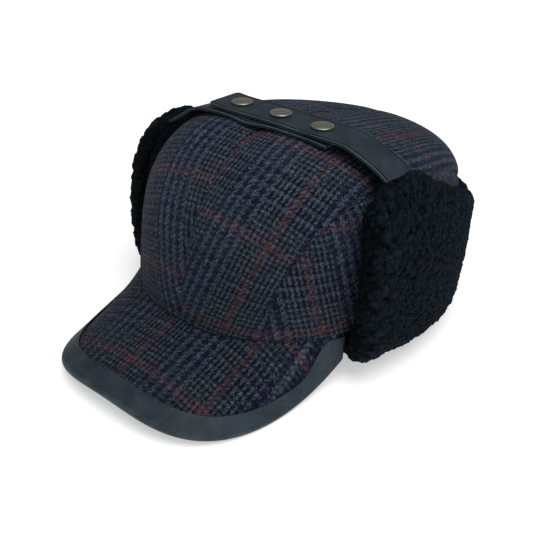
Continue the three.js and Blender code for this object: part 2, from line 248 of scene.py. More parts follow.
def top_cloth(points, u, v):
    """Places on the cloth of a top panel: the grain runs straight, so the middle seam cuts across
    it at the front, and the cross lines sag towards the sides."""
    over = np.degrees(math.pi * v)
    aside = np.degrees(side_seam(math.pi * v)) * u
    front, back = 1 - over / TOP_STRAIGHT[0], over / TOP_STRAIGHT[1] - 1
    bias = (TOP_BIAS * np.maximum(0, front) ** TOP_BIAS_POWER
            + TOP_BIAS * np.maximum(0, back) ** TOP_BIAS_POWER)
    sag = TOP_SAG - TOP_SAG_LOST * smooth_step(*TOP_SAG_TURNS, over)
    across = arc_length(points, 1) + bias
    along = arc_length(points, 0)[:, :1] + aside ** 2 * sag
    return np.stack([across - TOP_CLOTH_START[0], along - TOP_CLOTH_START[1]], -1)


def side_cloth(points):
    """Places on the cloth of a side panel: V is the height and U runs round the rim."""
    x, y, z = np.moveaxis(points, -1, 0)
    around = np.arctan2(y - CROWN_SET_BACK, x) * SIDE_CLOTH_RADIUS
    leaning = SIDE_CLOTH_LEAN * (z - SIDE_CLOTH_LEVEL)
    return np.stack([around + SIDE_CLOTH_START[0] + leaning, z - SIDE_CLOTH_START[1]], -1)


TOP_GRID, SIDE_GRID = (110, 250), (170, 80)    # columns and rows
TOP_CROWDING, SIDE_CROWDING = 0.7, 0.6         # how far rows crowd together near rim and seam
RIM_PRESSED, RIM_PRESSED_FROM = 0.9, (0.05, 0.13)      # a side's rim, by the peak and the flap
EVEN_REACH = 8                                 # from the side seam, where unevenness sets in

u, v = grid(*TOP_GRID)
v = mix(v, smooth_step(0, 1, v), TOP_CROWDING)
face_points = top_panel(u, v)
face_normals = normals(top_panel, u, v)
cloth = top_cloth(face_points, u, v)
from_middle = arc_length(face_points, 1)
from_side = from_middle[:, -1:] - from_middle
from_rim = arc_length(face_points, 0)
from_rim = np.minimum(from_rim, from_rim[-1:] - from_rim)
lift = (seam_dip(from_middle) + seam_dip(from_side)
        + puckers(cloth[..., 1], from_middle, from_side) + rim_roll(from_rim))
inner = face_points - CROWN_WALL * face_normals
left_lift = lift + unevenness(face_points)
right_lift = lift + unevenness(face_points * (-1, 1, 1))
crown_top_left = wall("crown_top_left_cloth", raised(face_points, face_normals, left_lift),
                      inner, cloth)
crown_top_right = wall("crown_top_right_cloth",
                       mirrored(raised(face_points, face_normals, right_lift)),
                       mirrored(inner), mirrored(cloth + RIGHT_TOP_SHIFT))

u, v = grid(*SIDE_GRID)
v = mix(v, smooth_step(0, 1, v), SIDE_CROWDING)
face_points = side_panel(u, v)
face_normals = normals(side_panel, u, v)
cloth = side_cloth(face_points)
from_rim = arc_length(face_points, 0)
from_seam = from_rim[-1:] - from_rim
roll_left = 1 - RIM_PRESSED * smooth_step(*RIM_PRESSED_FROM, u)
lift = (seam_dip(from_seam) + puckers(cloth[..., 0], from_seam) + rim_roll(from_rim) * roll_left
        + unevenness(face_points) * np.minimum(1, from_seam / EVEN_REACH))
outer = raised(face_points, face_normals, lift)
inner = face_points - CROWN_WALL * face_normals
crown_side_left = wall("crown_side_left_cloth", outer, inner, cloth)
crown_side_right = wall("crown_side_right_cloth", mirrored(outer), mirrored(inner),
                        mirrored(cloth))


# Plaid wool: a glen check in two-up, two-down twill of woollen yarn. Groups of four dark and four
# light threads cross groups of two and two, and a red line runs through the fine part. The yarn
# is heathered and slightly hairy, so it is matt, with a soft pale edge where it turns away. Light
# from above is painted into the colour: lighter at the top of the crown, a little darker low down.
def linear(code):
    """A linear colour with alpha from an sRGB hex value."""
    channels = [int(code[place:place + 2], 16) / 255 for place in (1, 3, 5)]
    bright = [c / 12.92 if c <= 0.04045 else ((c + 0.055) / 1.055) ** 2.4 for c in channels]
    return (*bright, 1.0)


def fill(tree, made, inputs):
    """Gives sockets of a node their values, or links them to the outputs of others."""
    for name, value in inputs.items():
        if isinstance(value, bpy.types.NodeSocket):
            tree.links.new(value, made.inputs[name])
        else:
            made.inputs[name].default_value = value


def node(tree, kind, settings=None, inputs=None):
    """Adds a node. settings are its properties, and inputs are its sockets' values or links, by
    name or number. A Mix node takes numbers at 2 and 3 and colours at 6 and 7, and gives a colour
    at output 2. A Map Range node's range is at 1 and 2, and its result's at 3 and 4."""
    made = tree.nodes.new(kind)
    for name, value in (settings or {}).items():
        setattr(made, name, value)
    fill(tree, made, inputs or {})
    return made.outputs[0]


def new_material(name):
    """An empty node material: its tree and its Principled BSDF."""
    material = bpy.data.materials.new(name)
    material.use_nodes = True
    return material, material.node_tree, material.node_tree.nodes["Principled BSDF"]


def scale_of(size):
    """The scale of a noise whose spots are about this many millimetres wide."""
    return 1 / (size * MM)


THREADS, FINE_THREADS = 72, 40         # in one repeat of the check, and in its fine part
THREAD_WIDTH = {"warp": 0.7, "weft": 0.757}
PALE_YARN = {"warp": "#3F4A57", "weft": "#2B343F"}
NAVY_YARN = {"warp": "#0E1130", "weft": "#0E1128"}
BLACK_YARN = {"warp": "#060A11", "weft": "#1A212C"}
RED_YARN, RED_REACH, RED_SHARE = "#5A3438", 2.6, 0.52       # threads each way, and strength
GREEN_FLECK, GREEN_FLECKS = "#39423A", 0.014                # their colour, and share of stitches
CLOTH_SWAY, SWAY_RUN = (1.3, 1.3, 0.0), 1.25                # how threads wander, in millimetres
NAP, YARN_RELIEF = 0.3, 0.5            # how far hairs hide the weave, and its height
HEATHER = (0.3, 1.75)                  # brightness from stitch to stitch
WORN, WORN_PATCH = (0.6, 1.4), 10 / 3  # and from patch to patch, and a patch's size
PAINTED_TOP_LIGHT_LEVELS, PAINTED_TOP_LIGHT = (0.07, 0.115), (0.86, 1.22)           # and painted light and shade with the height, in metres: darker low, lighter high


def plaid_wool():
    material, tree, shader = new_material("plaid_wool")
    flat = node(tree, "ShaderNodeUVMap", {"uv_map": "cloth"})
    sway = node(tree, "ShaderNodeTexNoise", None,
                {"Vector": flat, "Scale": 1 / SWAY_RUN, "Detail": 3.0}).node
    swayed = node(tree, "ShaderNodeVectorMath", {"operation": "MULTIPLY_ADD"},
                  {0: sway.outputs["Color"], 1: CLOTH_SWAY, 2: flat})
    place = node(tree, "ShaderNodeSeparateXYZ", None, {0: swayed}).node
    indices, colours, reliefs = [], [], []
    for yarn, axis in (("warp", 0), ("weft", 1)):
        count = node(tree, "ShaderNodeMath", {"operation": "DIVIDE"},
                     {0: place.outputs[axis], 1: THREAD_WIDTH[yarn]})
        index = node(tree, "ShaderNodeMath", {"operation": "FLOOR"}, {0: count})
        shifted = node(tree, "ShaderNodeMath", {"operation": "ADD"},
                       {0: index, 1: FINE_THREADS / 2})
        order = node(tree, "ShaderNodeMath", {"operation": "FLOORED_MODULO"},
                     {0: shifted, 1: float(THREADS)})
        wide = node(tree, "ShaderNodeMath", {"operation": "GREATER_THAN"},
                    {0: order, 1: FINE_THREADS - 0.5})
        of_four = node(tree, "ShaderNodeMath", {"operation": "FLOORED_MODULO"}, {0: order, 1: 4.0})
        of_eight = node(tree, "ShaderNodeMath", {"operation": "FLOORED_MODULO"}, {0: order, 1: 8.0})
        two_dark = node(tree, "ShaderNodeMath", {"operation": "LESS_THAN"}, {0: of_four, 1: 1.5})
        four_dark = node(tree, "ShaderNodeMath", {"operation": "LESS_THAN"}, {0: of_eight, 1: 3.5})
        dark = node(tree, "ShaderNodeMix", None, {0: wide, 2: two_dark, 3: four_dark})
        from_red = node(tree, "ShaderNodeMath", {"operation": "COMPARE"},
                        {0: order, 1: FINE_THREADS / 2 - 0.5, 2: RED_REACH})
        redness = node(tree, "ShaderNodeMath", {"operation": "MULTIPLY"},
                       {0: from_red, 1: RED_SHARE})
        dark_yarn = node(tree, "ShaderNodeMix", {"data_type": "RGBA"},
                         {0: wide, 6: linear(BLACK_YARN[yarn]), 7: linear(NAVY_YARN[yarn])}).node
        ground = node(tree, "ShaderNodeMix", {"data_type": "RGBA"},
                      {0: dark, 6: linear(PALE_YARN[yarn]), 7: dark_yarn.outputs[2]}).node
        dyed = node(tree, "ShaderNodeMix", {"data_type": "RGBA"},
                    {0: redness, 6: ground.outputs[2], 7: linear(RED_YARN)}).node
        part = node(tree, "ShaderNodeMath", {"operation": "FRACT"}, {0: count})
        round_yarn = node(tree, "ShaderNodeMath", {"operation": "PINGPONG"}, {0: part, 1: 0.5})
        indices.append(index)
        colours.append(dyed.outputs[2])
        reliefs.append(round_yarn)
    twill = node(tree, "ShaderNodeMath", {"operation": "SUBTRACT"}, {0: indices[0], 1: indices[1]})
    step = node(tree, "ShaderNodeMath", {"operation": "FLOORED_MODULO"}, {0: twill, 1: 4.0})
    warp_up = node(tree, "ShaderNodeMath", {"operation": "LESS_THAN"}, {0: step, 1: 1.5})
    woven = node(tree, "ShaderNodeMix", {"data_type": "RGBA"},
                 {0: warp_up, 6: colours[1], 7: colours[0]}).node
    height = node(tree, "ShaderNodeMix", None, {0: warp_up, 2: reliefs[1], 3: reliefs[0]})
    fuzz = node(tree, "ShaderNodeMix", {"data_type": "RGBA"},
                {0: 0.5, 6: colours[1], 7: colours[0]}).node
    napped = node(tree, "ShaderNodeMix", {"data_type": "RGBA"},
                  {0: NAP, 6: woven.outputs[2], 7: fuzz.outputs[2]}).node

    crossing = node(tree, "ShaderNodeCombineXYZ", None, {0: indices[0], 1: indices[1]})
    chance = node(tree, "ShaderNodeTexWhiteNoise", {"noise_dimensions": "2D"}, {0: crossing})
    fleck = node(tree, "ShaderNodeMath", {"operation": "GREATER_THAN"},
                 {0: chance, 1: 1 - GREEN_FLECKS})
    flecked = node(tree, "ShaderNodeMix", {"data_type": "RGBA"},
                   {0: fleck, 6: napped.outputs[2], 7: linear(GREEN_FLECK)}).node
    heather = node(tree, "ShaderNodeMapRange", None, {0: chance, 3: HEATHER[0], 4: HEATHER[1]})
    spot = node(tree, "ShaderNodeTexCoord").node.outputs["Object"]
    cloudy = node(tree, "ShaderNodeTexNoise", None,
                  {"Vector": spot, "Scale": scale_of(WORN_PATCH), "Detail": 5.0,
                   "Roughness": 0.75})
    worn = node(tree, "ShaderNodeMapRange", None,
                {0: cloudy, 1: 0.3, 2: 0.7, 3: WORN[0], 4: WORN[1]})
    mottled = node(tree, "ShaderNodeMath", {"operation": "MULTIPLY"}, {0: heather, 1: worn})
    level = node(tree, "ShaderNodeSeparateXYZ", None, {0: spot}).node.outputs["Z"]
    # Painted light from above: the cloth's colour is lighter high on the crown and darker low down.
    painted_top_light = node(tree, "ShaderNodeMapRange", None,
                 {0: level, 1: PAINTED_TOP_LIGHT_LEVELS[0], 2: PAINTED_TOP_LIGHT_LEVELS[1], 3: PAINTED_TOP_LIGHT[0], 4: PAINTED_TOP_LIGHT[1]})
    both = node(tree, "ShaderNodeMath", {"operation": "MULTIPLY"}, {0: mottled, 1: painted_top_light})
    shaded = node(tree, "ShaderNodeHueSaturation", None,
                  {"Value": both, "Color": flecked.outputs[2]})
    bump = node(tree, "ShaderNodeBump", None,
                {"Strength": 0.8, "Distance": YARN_RELIEF * MM, "Height": height})
    fill(tree, shader, {"Base Color": shaded, "Normal": bump, "Roughness": 0.95,
                        "Specular IOR Level": 0.15, "Sheen Weight": 0.06,
                        "Sheen Roughness": 0.45, "Sheen Tint": linear("#9AA0B4")})
    return material


wool = plaid_wool()
for panel, cad_node in ((crown_top_left, "crown_top_left"), (crown_top_right, "crown_top_right"),
                        (crown_side_left, "crown_side_left"),
                        (crown_side_right, "crown_side_right")):
    panel.data.materials.append(wool)
    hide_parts(cad_node)

# ---- The peak -------------------------------------------------------------------------------
# A stiff board, arched to the brow, with the same cloth drawn over both its faces and sewn under
# the crown's front edge.
PEAK_SWEEP, PEAK_FULL_SWEEP = math.radians(58.3), math.radians(64.9)
PEAK_HALF_WIDTH, PEAK_REACH = 74.6, 52.6
PEAK_EDGE_POWER, PEAK_RUN_OUT_POWER = 3.3, 6
PEAK_TIP_DROP, PEAK_ARCH = 16.4, 14.4
PEAK_BOARD, PEAK_TUCK, PEAK_PRESSED = 2.4, 2.4, 0.3   # thickness, and how far in and up it is sewn
PEAK_BUNCHING = 0.86 * math.pi / 2     # how columns crowd together towards its ends
PEAK_GRID = (260, 90)                  # columns and rows
PEAK_CLOTH_START = (-3.5, CROWN_SET_BACK - 82)
PEAK_CLOTH_EASE = (50.4 / 50.5, 54.5 / 55.5)


def peak_line(sweep):
    """The straight line of the board at an angle from the front: its ends at the rim and at the
    outer edge, and how far it is tucked in. The edge is a superellipse that runs out into the
    rim."""
    around = sweep - math.pi / 2
    rim = crown_face(around, np.zeros_like(around))
    share = sweep / PEAK_FULL_SWEEP
    forward, aside = superellipse(share * math.pi / 2, PEAK_EDGE_POWER)
    end_y = CROWN_HALF[1] * math.sin(PEAK_FULL_SWEEP - math.pi / 2)
    edge = np.stack([
        PEAK_HALF_WIDTH * aside,
        CROWN_SET_BACK + end_y - (CROWN_HALF[1] + end_y + PEAK_REACH) * forward,
        RIM_FRONT - PEAK_TIP_DROP - PEAK_ARCH * aside ** 2,
    ], -1)
    edge = mix(edge, rim, (np.abs(share) ** PEAK_RUN_OUT_POWER)[..., None])
    flat = np.linalg.norm((edge - rim)[..., :2], axis=-1) / np.linalg.norm(edge - rim, axis=-1)
    inward = (rim - (0, CROWN_SET_BACK, 0)) * (-1, -1, 0)
    inward /= np.linalg.norm(inward, axis=-1, keepdims=True)
    tuck = PEAK_TUCK * (1 + flat) / 2
    rim = rim + inward * tuck[..., None]
    rim[..., 2] -= flat * PEAK_BOARD / 2 - PEAK_PRESSED
    return rim, edge, tuck


def peak_sweep(u):
    """Angles from one end of the peak to the other, closer together towards the ends."""
    return PEAK_SWEEP * np.sin((2 * u - 1) * PEAK_BUNCHING) / math.sin(PEAK_BUNCHING)


def peak_face(u, v):
    """The middle of the board: u from end to end, and v from its edge to the rim."""
    rim, edge = peak_line(peak_sweep(u))[:2]
    return mix(edge, rim, v[..., None])


u, v = grid(*PEAK_GRID)
face_points = peak_face(u, v)
face_normals = normals(peak_face, u, v)
cloth = (face_points[..., :2] - PEAK_CLOTH_START) * PEAK_CLOTH_EASE
peak = wall("peak_cloth", face_points + face_normals * PEAK_BOARD / 2,
            face_points - face_normals * PEAK_BOARD / 2, cloth)
peak.data.materials.append(wool)
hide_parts("peak")

# The binding is a wide strip of coated cotton cloth, folded over the edge of the peak and sewn
# down on both faces. It is stiff and smooth, and its raw edges are turned under.
BINDING_CLOTH, BINDING_SLACK, BINDING_WIDTH, BINDING_CLEAR = 0.8, 0.4, 10.8, 0.9
BINDING_WIDENS = (0.72, 0.83)          # shares of the sweep, where it spreads to the whole peak
BINDING_STATIONS = 401                 # sections from end to end, and the points of a section:
EDGE_POINTS, FLAT_POINTS, TURN_POINTS, RETURN_POINTS = 4, 9, 11, 5
FACE_POINTS = EDGE_POINTS + FLAT_POINTS
EDGE_CURVE, FLAT_FROM = 0.04, 0.94     # shares of its width, at the edge that is turned under


def binding_profile():
    """A section of the strip, as shares of its width inwards, and millimetres inwards and up. Its
    outer side runs out over the top, round the edge of the board and back under it, and its inner
    side returns along the board."""
    inside = PEAK_BOARD / 2 + BINDING_SLACK
    outside = inside + BINDING_CLOTH
    quarter = np.linspace(0, math.pi / 2, EDGE_POINTS)
    face = np.concatenate([1 - EDGE_CURVE * (1 - np.cos(quarter)),
                           np.linspace(FLAT_FROM, 0.0, FLAT_POINTS)])
    rise = mix(inside, outside, np.concatenate([np.sin(quarter), np.ones(FLAT_POINTS)]))
    turn = np.linspace(0, math.pi, TURN_POINTS + 2)[1:-1]
    back = np.linspace(1, 0, RETURN_POINTS + 1)[1:]
    level = np.zeros(RETURN_POINTS - 1)
    shares = np.concatenate([face, np.zeros(TURN_POINTS), face[::-1], back, back[::-1]])
    inwards = np.concatenate([np.zeros(FACE_POINTS), -outside * np.sin(turn),
                              np.zeros(FACE_POINTS), level, [-BINDING_SLACK] * 2, level])
    ups = np.concatenate([rise, outside * np.cos(turn), -rise[::-1],
                          [-inside] * RETURN_POINTS, [inside] * RETURN_POINTS])
    return shares, inwards, ups


stations = np.linspace(0, 1, BINDING_STATIONS)
rim, edge, tuck = peak_line(peak_sweep(stations))
length = np.linalg.norm(rim - edge, axis=-1)
outward = (edge - rim) / length[:, None]
room = length - (tuck + BINDING_CLEAR)
widening = smooth_step(*BINDING_WIDENS, np.abs(peak_sweep(stations)) / PEAK_FULL_SWEEP)
width = np.minimum(room, mix(BINDING_WIDTH, room, widening))
shares, inwards, ups = binding_profile()
u = np.repeat(stations[:, None], len(shares), 1)
v = shares * (width / length)[:, None]
strip = (peak_face(u, v) + normals(peak_face, u, v) * ups[:, None]
         - outward[:, None] * inwards[:, None])
strip[..., 2] = np.maximum(strip[..., 2], 0)      # it rests on the floor, and isn't sunk into it
count = len(shares)
ring = np.arange(count)
after = (ring + 1) % count
first = np.arange(BINDING_STATIONS - 1)[:, None] * count
sides = np.stack([first + ring, first + after, first + count + after, first + count + ring],
                 -1).reshape(-1, 4)
near = ring[:count // 2 - 1]
caps = np.stack([near, near + 1, count - 2 - near, count - 1 - near], -1)
caps = np.concatenate([caps[:, ::-1], caps + (BINDING_STATIONS - 1) * count])
around_strip = arc_length(strip, 1)
along_strip = np.repeat(arc_length(strip, 0)[:, :1], count, 1)
binding = make_mesh("peak_binding_cloth", strip, np.concatenate([sides, caps]).tolist(),
                    np.stack([along_strip, around_strip], -1))


# Coated cotton: cloth with a thin smooth coat, dark slate, with a satin gloss. The cloth under the
# coat gives it a fine grain. Folded edges get a painted highlight and sewn grooves painted shade;
# a per-point attribute says where: 0 in a groove, 0.5 on the flat and 1 on a highlit edge.
COATED_DARK, COATED_PALE = "#1C262D", "#313D46"
CLOUD, GRAIN, GRAIN_RELIEF = 12.5, 1 / 1.4, 0.2             # in millimetres
EDGE_SHADE_TO_HIGHLIGHT = (0.1, 3.2)                    # painted brightness: shade in a groove and highlight on a folded edge
GROOVE, SMOOTH, TURNED = 0.1, 0.5, 0.6         # the binding's painted edge light: shade where sewn, flat, and highlight round the edge


def coated_cotton():
    material, tree, shader = new_material("coated_cotton")
    spot = node(tree, "ShaderNodeTexCoord").node.outputs["Object"]
    edge_light_and_shade = node(tree, "ShaderNodeAttribute", {"attribute_name": "edge_light_and_shade"}).node.outputs["Fac"]
    clouds = node(tree, "ShaderNodeTexNoise", None,
                  {"Vector": spot, "Scale": scale_of(CLOUD), "Detail": 5.0, "Roughness": 0.65})
    grain = node(tree, "ShaderNodeTexNoise", None,
                 {"Vector": spot, "Scale": scale_of(GRAIN), "Detail": 2.0})
    both = node(tree, "ShaderNodeMix", None, {0: 0.3, 2: clouds, 3: grain})
    blotched = node(tree, "ShaderNodeMapRange", None, {0: both, 1: 0.38, 2: 0.62})
    colour = node(tree, "ShaderNodeMix", {"data_type": "RGBA"},
                  {0: blotched, 6: linear(COATED_DARK), 7: linear(COATED_PALE)}).node
    # Painted edge light and shade: the attribute darkens sewn grooves and lightens folded edges.
    bright = node(tree, "ShaderNodeMapRange", None,
                  {0: edge_light_and_shade, 1: 0.3, 2: 1.0, 3: EDGE_SHADE_TO_HIGHLIGHT[0], 4: EDGE_SHADE_TO_HIGHLIGHT[1]})
    highlit_edges = node(tree, "ShaderNodeHueSaturation", None,
                  {"Value": bright, "Color": colour.outputs[2]})
    rough = node(tree, "ShaderNodeMapRange", None, {0: clouds, 3: 0.5, 4: 0.66})
    bump = node(tree, "ShaderNodeBump", None,
                {"Strength": 0.35, "Distance": GRAIN_RELIEF * MM, "Height": grain})
    fill(tree, shader, {"Base Color": highlit_edges, "Roughness": rough, "Normal": bump,
                        "Specular IOR Level": 0.24})
    return material


def set_attribute(piece, name, values):
    """Stores one number for each vertex of a piece."""
    values = np.asarray(values, np.float32).ravel()
    piece.data.attributes.new(name, "FLOAT", "POINT").data.foreach_set("value", values)


last = 2 * FACE_POINTS + TURN_POINTS - 1
# Painted shade in the sewn grooves at both inner edges, and a painted highlight round the turned
# edge.
binding_edge_light = np.full(strip.shape[:2], SMOOTH)
binding_edge_light[:, [0, 1, last - 1, last]] = GROOVE
binding_edge_light[:, FACE_POINTS:FACE_POINTS + TURN_POINTS] = TURNED
set_attribute(binding, "edge_light_and_shade", binding_edge_light)
coated = coated_cotton()
binding.data.materials.append(coated)
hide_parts("peak_binding")

# ---- The flaps ------------------------------------------------------------------------------
# One band on each side, which goes on round the back: plaid cloth and black boa sewn together.
# It hangs a little below the rim, folds outwards and stands up along the crown, boa outwards.
FLAP_CLOTH, FLAP_BOA, FLAP_INSET = 1.5, 7.5, 0.3
SEAM_GAP = 0.3                         # from the flap to the rim, and from its cloth to its boa
FLAP_FRONT = math.radians(-31)
FLAP_STAND, FLAP_BELLY, FLAP_FALL = (5.6, 1.0), (3.4, 1.0), (3.4, 5.0)    # at front, at back
FLAP_EASES, FLAP_DROPS = (-20, 28), (-25, 0)      # degrees round the rim, where they change
BELLY_SPAN = 0.87                      # share of a half wave, so the top edge keeps off the crown
FLAP_TOP = np.array([                  # angle round the rim, and climb up the crown, in degrees
    (-31, 34), (-29, 38), (-25, 41), (-13, 43), (-4, 39.5), (8, 36), (22, 32.5), (45, 30.5),
    (90, 30)])
LEG_SHARE, FOLD_SHARE = 1 / 11, 4 / 11            # of v, down to the fold and round it
RISE_PER_RADIAN = 88.0                 # how far a radian of climb goes, below the rim
FLAP_GRID = (200, 110)                 # columns and rows
FLAP_CLOTH_START = 0.018               # u where the cloth ends and the boa rolls over it
FLAP_CLOTH_TOP = (0.978, 0.93)         # and v, at the front and at the back
FLAP_LOWERS = (0.35, 0.6)              # u over which the high front part runs out
FLAP_CLOTH_PLACE = (11, 7)             # where the check starts


def flap_face(u, v):
    """The inner face of the flap's cloth: u from the front edge to the middle of the back, and v
    down from the rim, round the fold, which is half a circle, and up outside the crown."""
    around = mix(FLAP_FRONT, math.pi / 2 - SEAM_ANGLE, u)
    degrees = np.degrees(around)
    to_back = smooth_step(*FLAP_EASES, degrees)
    stand, belly = mix(*FLAP_STAND, to_back), mix(*FLAP_BELLY, to_back)
    fall = SEAM_GAP + mix(*FLAP_FALL, smooth_step(*FLAP_DROPS, degrees))
    row = np.clip(np.searchsorted(FLAP_TOP[:, 0], degrees, "right") - 1, 0, len(FLAP_TOP) - 2)
    between = smooth_step(FLAP_TOP[row, 0], FLAP_TOP[row + 1, 0], degrees)
    top = np.radians(mix(FLAP_TOP[row, 1], FLAP_TOP[row + 1, 1], between))
    share = np.maximum(0, (v - FOLD_SHARE) / (1 - FOLD_SHARE))
    climb = mix(-fall / RISE_PER_RADIAN, top, share)
    step = SLOPE_STEP
    on_crown = np.maximum(climb, step)
    base = crown_face(around, on_crown)
    outward = np.cross(crown_face(around + step, on_crown) - crown_face(around - step, on_crown),
                       crown_face(around, on_crown + step) - crown_face(around, on_crown - step))
    outward /= np.linalg.norm(outward, axis=-1, keepdims=True)
    radius = (stand + FLAP_INSET) / 2
    turn = math.pi * np.clip((v - LEG_SHARE) / (FOLD_SHARE - LEG_SHARE), 0, 1)
    folded = v < FOLD_SHARE
    out = np.where(folded, stand - radius * (1 + np.cos(turn)),
                   stand + belly * np.sin(math.pi * share * BELLY_SPAN))
    leg = mix(SEAM_GAP, fall, np.minimum(1, v / LEG_SHARE))
    down = np.where(folded, leg + radius * np.sin(turn), -RISE_PER_RADIAN * np.minimum(climb, 0))
    return base + outward * out[..., None] - down[..., None] * np.array([0, 0, 1])


def behind(u):
    """0 in the high front part of the flap and 1 in the lower part behind it."""
    return smooth_step(*FLAP_LOWERS, u)


def flap_sheet(columns, rows):
    """A grid of points on the cloth's inner face, and its normals there."""
    u, v = grid(columns, rows)
    u = mix(FLAP_CLOTH_START, 1, u)
    v = v * mix(*FLAP_CLOTH_TOP, behind(u))
    return u, v, flap_face(u, v), normals(flap_face, u, v)


def as_it_is(points):
    """The grid of the wearer's left side, which is the side that is worked out."""
    return points


# The flat cut is measured over the surface: each point's place across and along it.
u, v, face_points, face_normals = flap_sheet(*FLAP_GRID)
across, along = arc_length(face_points, 1), arc_length(face_points, 0)
cloth = np.stack([across, along], -1) + FLAP_CLOTH_PLACE
outer = face_points + face_normals * FLAP_CLOTH
for side, placed in (("left", as_it_is), ("right", mirrored)):
    backing = wall(f"flap_cloth_{side}_wool", placed(outer), placed(face_points), placed(cloth))
    backing.data.materials.append(wool)
    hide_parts(f"flap_cloth_{side}")


# The boa is a knitted pile of looped, curly strands, 7 or 8 mm deep. Near the front and top edges,
# where the cloth turns, the pile opens into fat curls, and elsewhere they are finer.
BOA_GRID, BOA_BACKING_STEP = (392, 192), 4
BOA_AT_RIM = 0.3                       # the pile's depth there, as a share, and at its edges:
BOA_AT_SIDES, BOA_ROUNDED = 0.7, 0.3   # in front and at the back seam, and what is left of 1
BOA_SIDE_RATES = (20, 60)              # how fast it gets full from there, per unit of u
BOA_AT_TOP, BOA_TOP_RATES = (0.5, 0.35), (12, 6)  # at the front and at the back
BOA_OVERHANG = 0.022                   # v past the cloth's top
BOA_ROLL = math.radians(100)           # how far it turns over the cloth's edges, and what it
BOA_ROLL_TOP, BOA_ROLL_FRONT = 0.85, 0.5          # has lost of its depth by then
CURL_CELLS = 64                        # tufts each way before they repeat
CURL_SHIFT, CURL_FREE, CURL_REACH = 0.15, 0.7, 0.85         # in cells
CURL_SHORT, CURL_TALLER = 0.7, 0.3
CURL_BEND, CURL_SMALL_BEND = 0.7, 0.35            # how far their rows wander
ACROSS_RUNS, ALONG_RUNS = (3.1, 1.3), (2.7, 1.1)
FAT_CURLS = ((0.65, 4.6, 1.25), (0.35, 2.4, 1))   # share, spacing, and width over height
FINE_CURLS = ((0.6, 3.0, 1), (0.4, 1.8, 1))
CURL_HEIGHT, CURL_SUNK = (5.8, 4.4), 2.7          # fat and fine, and how far they are let in
CURL_FULL_DEPTH, CURL_SEAM = 3.4, (0, 3)          # they run out in thin pile and at the back seam
FAT_IN_FRONT, FAT_ON_TOP = (14, 30), (7, 16)      # millimetres from an edge
FRONT_SHADE, FRONT_SHADE_REACH = 0.8, (4, 14)     # painted shade on the curls near the front edge, and its reach


def curls(across, along, spacing, seed):
    """Heights of 0 to 1 of round tufts: one stands at a shifted place in each cell of a square
    grid, and each point takes the height of the dome of its nearest tuft."""
    cells = np.random.default_rng(seed).random((CURL_CELLS, CURL_CELLS, 3))
    cell_u, cell_v = np.floor(across / spacing), np.floor(along / spacing)
    nearest = np.full(across.shape, np.inf)
    tallness = np.zeros(across.shape)
    for step_u in (-1, 0, 1):
        for step_v in (-1, 0, 1):
            place = cells[(cell_u + step_u).astype(int) % CURL_CELLS,
                          (cell_v + step_v).astype(int) % CURL_CELLS]
            tuft_u = cell_u + step_u + CURL_SHIFT + CURL_FREE * place[..., 0]
            tuft_v = cell_v + step_v + CURL_SHIFT + CURL_FREE * place[..., 1]
            distance = np.hypot(across / spacing - tuft_u, along / spacing - tuft_v)
            closer = distance < nearest
            nearest = np.where(closer, distance, nearest)
            tallness = np.where(closer, place[..., 2], tallness)
    dome = np.sqrt(np.maximum(0, 1 - (nearest / CURL_REACH) ** 2))
    return dome * (CURL_SHORT + CURL_TALLER * tallness)


def boa_depth(u, v):
    """How deep the pile stands without its curls: thin inside the rim, and rounded at its front,
    its top and the back seam."""
    front = BOA_AT_SIDES + BOA_ROUNDED * rounded(u * BOA_SIDE_RATES[0])
    edge = mix(*BOA_AT_TOP, behind(u))
    from_top = mix(*FLAP_CLOTH_TOP, behind(u)) + BOA_OVERHANG - v
    top = edge + (1 - edge) * rounded(from_top * mix(*BOA_TOP_RATES, behind(u)))
    back = BOA_AT_SIDES + BOA_ROUNDED * rounded((1 - u) * BOA_SIDE_RATES[1])
    return FLAP_BOA * front * top * back * mix(BOA_AT_RIM, 1, smooth_step(0, LEG_SHARE * 2, v))


def rolled_over(centre, direction, depth, thinned, steps=8):
    """Adds rows past the last one that roll round the cloth's edge: the direction in which the
    pile stands turns about the edge, and the pile grows shorter on the cloth's inner side."""
    ahead = centre[-1] - centre[-2]
    ahead -= direction[-1] * (ahead * direction[-1]).sum(-1, keepdims=True)
    ahead /= np.linalg.norm(ahead, axis=-1, keepdims=True)
    turn = np.linspace(0, BOA_ROLL, steps + 1)[1:, None]
    turned = direction[-1] * np.cos(turn)[..., None] + ahead * np.sin(turn)[..., None]
    shorter = depth[-1] * (1 - thinned * turn / turn.max())
    return (np.concatenate([centre, np.repeat(centre[-1:], steps, 0)]),
            np.concatenate([direction, turned]), np.concatenate([depth, shorter]))


def inside_edges(across, along):
    """0 along the flap's front and top edges, and 1 far inside them."""
    return smooth_step(*FAT_IN_FRONT, across) * smooth_step(*FAT_ON_TOP, along[-1:] - along)


def wandering(straight, other, runs):
    """Places one way over the pile, pushed about by a long and a short wave along the other."""
    return (straight + CURL_BEND * np.sin(other / runs[0])
            + CURL_SMALL_BEND * np.sin(other / runs[1] + straight / 2))


def curl_heights(across, along, seed):
    """Heights of 0 to 1 of the pile's curls, fat near the front and top edges and fine elsewhere:
    large and small tufts added together, in rows that wander."""
    place_u = wandering(across, along, ACROSS_RUNS)
    place_v = wandering(along, across, ALONG_RUNS)
    tufts = [share * curls(place_u / wide, place_v, spacing, seed + place)
             for place, (share, spacing, wide) in enumerate(FAT_CURLS + FINE_CURLS)]
    return mix(tufts[0] + tufts[1], tufts[2] + tufts[3], inside_edges(across, along))


